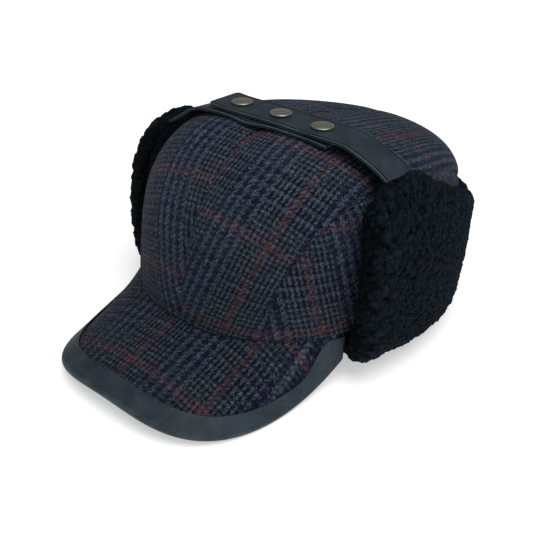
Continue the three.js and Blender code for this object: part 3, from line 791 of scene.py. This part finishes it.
def backed_pile(name, outer, inner, step):
    """A closed sheet like a wall, but its hidden inner face has only every step-th row and column,
    so each of its edge faces joins step + 1 fine corners to two coarse ones."""
    rows, columns = outer.shape[:2]
    index = np.arange(rows * columns).reshape(rows, columns)
    backing = inner[::step, ::step]
    low = np.arange(backing.shape[0] * backing.shape[1]).reshape(backing.shape[:2]) + rows * columns
    faces = []
    for fine in (index, low.T):
        quads = np.stack([fine[:-1, :-1], fine[:-1, 1:], fine[1:, 1:], fine[1:, :-1]], -1)
        faces += quads.reshape(-1, 4).tolist()
    for edge, foot in ((index[0, ::-1], low[0, ::-1]), (index[-1], low[-1]),
                       (index[:, 0], low[:, 0]), (index[::-1, -1], low[::-1, -1])):
        starts = np.arange(0, len(edge) - 1, step)
        fans = np.stack([edge[starts + k] for k in range(step, -1, -1)], -1)
        feet = np.stack([foot[:-1], foot[1:]], -1)
        faces += np.concatenate([fans, feet], -1).tolist()
    points = np.concatenate([outer.reshape(-1, 3), backing.reshape(-1, 3)])
    return make_mesh(name, points, faces)


u, v, face_points, face_normals = flap_sheet(*BOA_GRID)
centre = face_points + face_normals * FLAP_CLOTH / 2
rolled = rolled_over(centre, face_normals, boa_depth(u, v), BOA_ROLL_TOP)
rolled = rolled_over(*(part[:, ::-1].swapaxes(0, 1) for part in rolled), BOA_ROLL_FRONT)
centre, direction, depth = (part.swapaxes(0, 1)[:, ::-1] for part in rolled)
base = centre + direction * (FLAP_CLOTH / 2 + SEAM_GAP)
smooth = raised(base, direction, depth)
across, along = arc_length(smooth, 1), arc_length(smooth, 0)
boas = []
for side, placed, seed in (("left", as_it_is, 3), ("right", mirrored, 8)):
    height = curl_heights(across, along, seed)
    curled = height * mix(*CURL_HEIGHT, inside_edges(across, along)) - CURL_SUNK
    curled = curled * np.minimum(1, depth / CURL_FULL_DEPTH)
    curled = curled * smooth_step(*CURL_SEAM, across[:, -1:] - across)
    pile = raised(smooth, direction, curled)
    pile[:, -1, 0] = base[:, -1, 0]               # the two sides meet at the back seam
    pile[..., 2] = np.maximum(pile[..., 2], 0)    # and the fold is pressed flat where it rests
    boa = backed_pile(f"flap_boa_{side}_pile", placed(pile), placed(base), BOA_BACKING_STEP)
    # Painted light and shade on the curls: brighter on their tops, darker in the gaps and near the
    # front edge, stored as the attribute "pile".
    lit = height * mix(FRONT_SHADE, 1, smooth_step(*FRONT_SHADE_REACH, across))
    curl_light_and_shade = np.zeros(len(boa.data.vertices))
    curl_light_and_shade[:lit.size] = (lit if side == "left" else lit[:, ::-1]).ravel()
    set_attribute(boa, "pile", curl_light_and_shade)
    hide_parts(f"flap_boa_{side}")
    boas.append(boa)


# Black boa: acrylic pile, crimped and tufted. Its strands are glossy one by one but hide in each
# other's shadow, so it looks nearly black. That look is painted into its colour: painted shade in
# the gaps between the curls and small cool painted glints on the tops of the curls.
# The colour in the painted shade of the gaps, and the painted glint on the curl tops.
BOA_BLACK, BOA_GLINT = "#010203", "#1E2D37"
SWIRL, HAIR, PILE_RELIEF = 1 / 0.52, 2 / 3, 0.9   # in millimetres, hairs drawn coarse to show
TIPS, TIP_LIGHT = (0.45, 1.0), (0.03, 1.0)        # heights of the curls, and the painted brightness there, from gap shade to tip glint


def black_boa():
    material, tree, shader = new_material("black_boa")
    spot = node(tree, "ShaderNodeTexCoord").node.outputs["Object"]
    pile = node(tree, "ShaderNodeAttribute", {"attribute_name": "pile"}).node.outputs["Fac"]
    swirl = node(tree, "ShaderNodeTexNoise", None,
                 {"Vector": spot, "Scale": scale_of(SWIRL), "Detail": 4.0, "Distortion": 1.6})
    hairs = node(tree, "ShaderNodeTexNoise", None,
                 {"Vector": spot, "Scale": scale_of(HAIR), "Detail": 2.0, "Distortion": 0.8})
    both = node(tree, "ShaderNodeMix", None, {0: 0.4, 2: swirl, 3: hairs})
    ramp = node(tree, "ShaderNodeMapRange", None, {0: both, 1: 0.4, 2: 0.62})
    lit = node(tree, "ShaderNodeMath", {"operation": "ADD"}, {0: ramp, 1: 0.12})
    # Painted shade in the gaps between curls and a painted glint on their tops, read from the
    # attribute.
    tips = node(tree, "ShaderNodeMapRange", {"interpolation_type": "SMOOTHSTEP"},
                {0: pile, 1: TIPS[0], 2: TIPS[1], 3: TIP_LIGHT[0], 4: TIP_LIGHT[1]})
    bright = node(tree, "ShaderNodeMath", {"operation": "MULTIPLY"}, {0: lit, 1: tips})
    colour = node(tree, "ShaderNodeMix", {"data_type": "RGBA"},
                  {0: bright, 6: linear(BOA_BLACK), 7: linear(BOA_GLINT)}).node
    bump = node(tree, "ShaderNodeBump", None,
                {"Strength": 0.9, "Distance": PILE_RELIEF * MM, "Height": both})
    fill(tree, shader, {"Base Color": colour.outputs[2], "Normal": bump, "Roughness": 0.85,
                        "Specular IOR Level": 0.05, "Sheen Weight": 0.01,
                        "Sheen Roughness": 0.4})
    return material


boa_material = black_boa()
for boa in boas:
    boa.data.materials.append(boa_material)

# ---- The straps -----------------------------------------------------------------------------
# Each flap has a strap of the coated cotton, two layers turned in and sewn together near their
# edges. They lie over the crown, the left one on top, and the snaps go through both.
STRAP_WIDTH, STRAP_THICKNESS = 25.0, 1.2
STRAP_FALL, SHOULDER_FALL = 0.6, 2.3   # how much lower the far edge lies, and at the left shoulder
RIGHT_FALL, RIGHT_DROP = 1.4, 0.7      # further at the right shoulder, and the whole strap there
LEFT_SHOULDER, RIGHT_SHOULDER = (42, 58), (38, 47)          # distances from the middle
STRAP_DRIFT, DRIFT_FROM = 5.0, (46, 82)           # how far back it has come at a flap
STRAP_CORNER = 2.5                     # radius of the upper strap's free corners
STRAP_STATIONS = 281                   # sections from end to end
UPPER_UNDER, LOWER_TOP = -0.45, STRAP_THICKNESS + 0.35      # each fills out to meet the other
BOW_MIDDLE, BOW_LENGTH, BOW_EDGE = -7, 10, (4, 12.5)        # where the lower one bows
BOW_BACK, BOW_DOWN = 1.6, 0.8
STRAP_INSETS = (0.45, 0.12, 0, 0.1, 0.35, 0.6, 0.8, 0.95, 1.1, 1.3, 1.6, 2.0, 2.8)
FLAT_INSET, FLAT_COUNT = 3.8, 9        # its section's points, from an edge: lip, sewn line, flat
LIP_HEIGHTS, FULL_HEIGHT = (2, 2.3, 3, 3.7), 4              # quarters of the way up to its face
SEWN_LINE, SEWN_HALF, SEWN_DEPTH, SEWN_FROM = 1.05, 0.25, 0.25, 0.5
# Where the painted highlight on a rolled lip and the painted shade beside the sewn line lie, and
# their half widths, from an edge
HIGHLIGHT_LINE, HIGHLIGHT_HALF, SHADE_LINE, SHADE_HALF = 0.3, 0.3, 1.3, 0.5
RIPPLE_LINE, RIPPLE_HALF, RIPPLE, RIPPLE_RUN = 1.2, 0.8, 0.1, 0.48      # along the sewn line
PATH_FINENESS = 40                     # places on a path for each of its points
UPPER_PATH = (-24.5, np.array([        # x and z of the strap's underside
    (-38.5, 123.8), (-31, 123.2), (-24, 122.9), (4.5, 122.5), (33, 121.4), (46, 121), (53, 120),
    (58.5, 117.9), (64.4, 114.8), (69.9, 111.5), (75, 107.7), (78.5, 104.8)]))
LOWER_PATH = (-26.5, np.array([
    (-76.2, 103.3), (-74, 104.4), (-69, 107.2), (-62.9, 110.8), (-52.5, 116.9), (-47.5, 118.8),
    (-42, 119.8), (-37, 120.2), (-24, 120.4), (4.5, 120.2), (33, 119.1), (46, 117.8)]))


def smooth_path(points, count):
    """Even places on a Catmull-Rom curve through the points."""
    ends = np.concatenate([2 * points[:1] - points[1:2], points, 2 * points[-1:] - points[-2:-1]])
    place = np.linspace(0, len(points) - 1, PATH_FINENESS * len(points))
    start = np.minimum(place.astype(int), len(points) - 2)
    t = (place - start)[:, None]
    a, b, c, d = (ends[start + k] for k in range(4))
    curve = 0.5 * (2 * b + (c - a) * t + (2 * a - 5 * b + 4 * c - d) * t ** 2
                   + (3 * b - a - 3 * c + d) * t ** 3)
    run = np.concatenate([[0], np.cumsum(np.linalg.norm(np.diff(curve, axis=0), axis=1))])
    even = np.linspace(0, run[-1], count)
    return np.stack([np.interp(even, run, curve[:, k]) for k in range(2)], -1), even


def strap_section(top, under):
    """Places across the strap, from its near edge to its far one, with the height of each of its
    two faces there, and the painted edge light and shade: a painted highlight on each rolled lip and
    painted shade in the side groove and beside the sewn line. Each layer's edge is rolled under, so
    the strap's side is a groove between two round lips, and a sewn line sinks into both faces near
    each edge."""
    half, lip = STRAP_WIDTH / 2, (top - under) / 4
    inset = np.concatenate([STRAP_INSETS, np.linspace(FLAT_INSET, half, FLAT_COUNT)])
    above = np.full(len(inset), float(FULL_HEIGHT))
    above[:len(LIP_HEIGHTS)] = LIP_HEIGHTS
    above *= lip
    sewn = SEWN_DEPTH * np.exp(-((inset - SEWN_LINE) / SEWN_HALF) ** 2)
    sewn = np.where(inset > SEWN_FROM, sewn, 0)
    # A painted highlight along each rolled lip, and painted shade beside the sewn line.
    highlit_edges = 0.5 * np.exp(-((inset - HIGHLIGHT_LINE) / HIGHLIGHT_HALF) ** 2)
    shaded = 0.5 * np.exp(-((inset - SHADE_LINE) / SHADE_HALF) ** 2)
    edge_light_and_shade = SMOOTH + highlit_edges - shaded
    edge_light_and_shade[:2] = 0                                  # painted shade in the groove in the strap's side
    whole = np.concatenate([inset - half, (half - inset)[-2::-1]])
    tops, lows, section_edge_light = (np.concatenate([side, side[-2::-1]]) for side in
                         (under + above - sewn, top - above + sewn, edge_light_and_shade))
    return whole, tops, lows, section_edge_light


def strap(name, middle, path, top, under, bowed, corner, cad_node):
    """A flat strip along a path, which drifts back towards a flap and falls to its far edge. Its
    near edge may bow away between two snaps, and its first end may have round corners."""
    line, run = smooth_path(path, STRAP_STATIONS)
    places, tops, unders, section_edge_light = strap_section(top, under)
    beyond = np.maximum(0, np.abs(places) - (STRAP_WIDTH / 2 - corner))
    start = corner - np.sqrt(np.maximum(0, corner ** 2 - beyond ** 2))
    along = start + (run[-1] - start) * (run / run[-1])[:, None]
    x, z = (np.interp(along, run, line[:, k]) for k in range(2))
    y = np.repeat((middle + places)[None], len(line), 0)
    to_right = smooth_step(*RIGHT_SHOULDER, -x)
    fall = mix(STRAP_FALL, SHOULDER_FALL, smooth_step(*LEFT_SHOULDER, x)) + RIGHT_FALL * to_right
    z = z - RIGHT_DROP * to_right
    bow = bowed * np.exp(-((x - BOW_MIDDLE) / BOW_LENGTH) ** 2) * smooth_step(*BOW_EDGE, -places)
    drift = STRAP_DRIFT * smooth_step(*DRIFT_FROM, np.abs(x))
    face = np.stack([x, y + CROWN_SET_BACK + drift - BOW_BACK * bow,
                     z - fall * places / STRAP_WIDTH - BOW_DOWN * bow], -1)
    slope = np.gradient(line, axis=0)
    up = np.stack([-slope[:, 1], 0 * slope[:, 1], slope[:, 0]], -1)
    up = (up / np.linalg.norm(up, axis=1, keepdims=True))[:, None]
    from_line = STRAP_WIDTH / 2 - np.abs(places) - RIPPLE_LINE
    near_edge = np.exp(-(from_line / RIPPLE_HALF) ** 2)
    ripple = RIPPLE * np.sin(run / RIPPLE_RUN)[:, None] * near_edge
    outer = (face + up * (tops + ripple)[..., None]).swapaxes(0, 1)
    inner = (face + up * unders[:, None]).swapaxes(0, 1)
    made = wall(name, outer, inner)
    # The painted edge light and shade, for both faces of the strap.
    set_attribute(made, "edge_light_and_shade", np.concatenate([np.repeat(section_edge_light, len(line))] * 2))
    made.data.materials.append(coated)
    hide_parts(cad_node)
    return face


upper_points = strap("strap_upper_cotton", *UPPER_PATH, STRAP_THICKNESS, UPPER_UNDER, 0,
                     STRAP_CORNER, "strap_upper")
strap("strap_lower_cotton", *LOWER_PATH, LOWER_TOP, 0, 1, 0, "strap_lower")

# ---- The snaps ------------------------------------------------------------------------------
# Three press snaps of plated brass, aged dark. Each has a shallow domed cap, pressed from sheet,
# with a rolled rim and a fine line inside it. Its post and socket are out of sight in the straps.
SNAP_TURNS = 48
SNAP_COLUMN = 36                       # of the strap's grid, by which a snap's row is found
SNAP_ROWS = 3                          # each way, over which the strap's slope is taken
SNAP_CAP = np.array([                  # radius and height above the strap
    (0.02, 0.45), (4.2, 0.45), (4.9, 0.32), (5.6, 0.3), (6.0, 0.42), (6.2, 0.75), (6.16, 1.05),
    (5.95, 1.33), (5.6, 1.48), (5.15, 1.5), (4.85, 1.46), (4.6, 1.5), (4.0, 1.68), (2.8, 1.93),
    (1.5, 2.06), (0.02, 2.1)])


# Aged nickel: brushed plating with a brownish-green cast that has dulled unevenly.
NICKEL_DARK, NICKEL_PALE, STAIN = "#86877D", "#B2B1A3", 3.125     # a stain's size, in millimetres


def aged_nickel():
    material, tree, shader = new_material("aged_nickel")
    spot = node(tree, "ShaderNodeTexCoord").node.outputs["Object"]
    stain = node(tree, "ShaderNodeTexNoise", None,
                 {"Vector": spot, "Scale": scale_of(STAIN), "Detail": 4.0})
    colour = node(tree, "ShaderNodeMix", {"data_type": "RGBA"},
                  {0: stain, 6: linear(NICKEL_DARK), 7: linear(NICKEL_PALE)}).node
    rough = node(tree, "ShaderNodeMapRange", None, {0: stain, 3: 0.3, 4: 0.48})
    fill(tree, shader, {"Base Color": colour.outputs[2], "Roughness": rough, "Metallic": 1.0})
    return material


nickel = aged_nickel()
turns = np.linspace(0, 2 * math.pi, SNAP_TURNS, endpoint=False)
for number in (1, 2, 3):
    low, high = (np.array(corner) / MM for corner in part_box(f"snap_{number}"))
    middle = (low + high) / 2
    row = np.argmin(np.abs(upper_points[:, SNAP_COLUMN, 0] - middle[0]))
    column = np.argmin(np.abs(upper_points[row, :, 1] - middle[1]))
    along_strap = upper_points[row + SNAP_ROWS, column] - upper_points[row - SNAP_ROWS, column]
    along_strap /= np.linalg.norm(along_strap)
    up = np.cross(along_strap, (0, 1, -STRAP_FALL / STRAP_WIDTH))
    foot = upper_points[row, column] + up * STRAP_THICKNESS
    foot[0] = middle[0]
    across_strap = np.cross(up, along_strap)
    ring = (np.cos(turns)[:, None] * along_strap + np.sin(turns)[:, None] * across_strap)
    points = foot + SNAP_CAP[:, None, :1] * ring + SNAP_CAP[:, None, 1:] * up
    count = len(SNAP_CAP)
    index = np.arange(count * SNAP_TURNS).reshape(count, SNAP_TURNS)
    after = np.roll(index, -1, axis=1)
    faces = np.stack([index[:-1], after[:-1], after[1:], index[1:]], -1).reshape(-1, 4)
    snap = make_mesh(f"snap_{number}_nickel", points, faces.tolist())
    snap.data.materials.append(nickel)
    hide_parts(f"snap_{number}")

# ---- The stage ------------------------------------------------------------------------------
# A pale floor under soft light from above and from the wearer's left, and a camera above the left
# front.
FLOOR_SIZE, WHITE = 30, (1, 1, 1, 1)
bpy.ops.mesh.primitive_plane_add(size=FLOOR_SIZE)
floor = bpy.context.object
floor.name = "floor"
floor_material, floor_tree, floor_shader = new_material("pale_floor")
fill(floor_tree, floor_shader, {"Base Color": linear("#F4F4F4"), "Roughness": 0.9,
                                "Emission Color": WHITE, "Emission Strength": 0.45})
floor.data.materials.append(floor_material)

scene = bpy.context.scene
scene.view_settings.view_transform = "Standard"
world = bpy.data.worlds.new("studio")
world.use_nodes = True
fill(world.node_tree, world.node_tree.nodes["Background"], {"Color": WHITE, "Strength": 0.24})
scene.world = world


def soft_lamp(name, place, strength, spread):
    """A distant soft lamp that shines from a place towards the cap."""
    lamp = bpy.data.lights.new(name, "SUN")
    lamp.energy, lamp.angle = strength, math.radians(spread)
    made = bpy.data.objects.new(name, lamp)
    made.rotation_euler = (-Vector(place)).to_track_quat("-Z", "Y").to_euler()
    scene.collection.objects.link(made)


soft_lamp("key_light", (0.6, -0.15, 2.0), 1.6, 45)
soft_lamp("side_light", (1.9, -0.5, 1.1), 0.52, 50)

CAMERA_TURN, CAMERA_RISE, CAMERA_ROLL = map(math.radians, (41.575, 30.92, -1.422))
CAMERA_AIM = np.array([-0.37, CROWN_SET_BACK - 33.7, 29.2])
CAMERA_DISTANCE, CAMERA_SEES = 458.3, 60          # millimetres, and metres
LENS, FILM = 51.06, 36
back = np.array([math.sin(CAMERA_TURN) * math.cos(CAMERA_RISE),
                 -math.cos(CAMERA_TURN) * math.cos(CAMERA_RISE), math.sin(CAMERA_RISE)])
right = np.array([math.cos(CAMERA_TURN), math.sin(CAMERA_TURN), 0])
up = np.cross(back, right)
rolled = right * math.cos(CAMERA_ROLL) + up * math.sin(CAMERA_ROLL)
upright = np.cross(back, rolled)
camera = bpy.data.objects.new("camera", bpy.data.cameras.new("camera"))
camera.data.lens, camera.data.sensor_width = LENS, FILM
camera.data.clip_end = CAMERA_SEES
turned = np.eye(4)
turned[:3, 0], turned[:3, 1], turned[:3, 2] = rolled, upright, back
turned[:3, 3] = (CAMERA_AIM + back * CAMERA_DISTANCE) * MM
camera.matrix_world = Matrix(turned.tolist())
scene.collection.objects.link(camera)
scene.camera = camera
